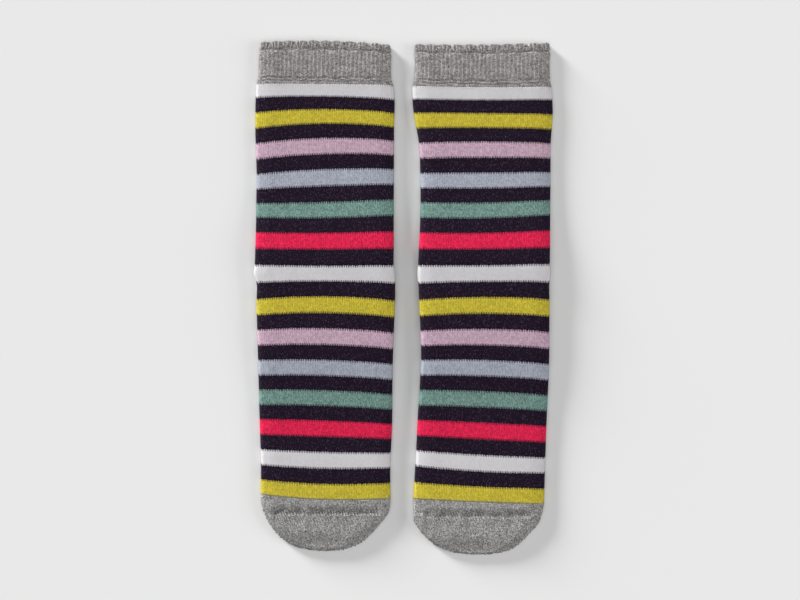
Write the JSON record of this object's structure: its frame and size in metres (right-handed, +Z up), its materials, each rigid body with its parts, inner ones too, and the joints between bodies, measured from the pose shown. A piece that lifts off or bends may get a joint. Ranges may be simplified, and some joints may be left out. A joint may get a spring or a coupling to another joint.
{
  "type": "pair of socks",
  "caption": "Pair of striped terry-knit crew socks with grey marl ribbed cuffs, heel pockets and toes, laid flat side by side with the instep up.",
  "frame": {"origin": "on the surface the socks lie on, under the centre of the pair", "axes": "+X from the left sock to the right one as seen from above, +Y towards the cuffs, +Z up"},
  "size_m": [0.18, 0.3086, 0.0099],
  "materials": {
    "grey_marl_rib": "grey marl cotton, 1 and 1 rib knit with a plain band, matt",
    "striped_knit": "plain knit cotton over terry loops, in stripes of white, yellow, pink, pale blue, green and red between dark aubergine ones, matt and slightly fuzzy",
    "grey_marl_heel": "grey marl cotton, plain knit, matt",
    "grey_marl_toe": "grey marl cotton, plain knit with a linked toe seam, matt"
  },
  "bodies": {
    "root": {"left_cuff": "grey_marl_rib", "left_leg_foot": "striped_knit", "left_heel": "grey_marl_heel", "left_toe": "grey_marl_toe", "right_cuff": "grey_marl_rib", "right_leg_foot": "striped_knit", "right_heel": "grey_marl_heel", "right_toe": "grey_marl_toe"}
  },
  "joints": []
}
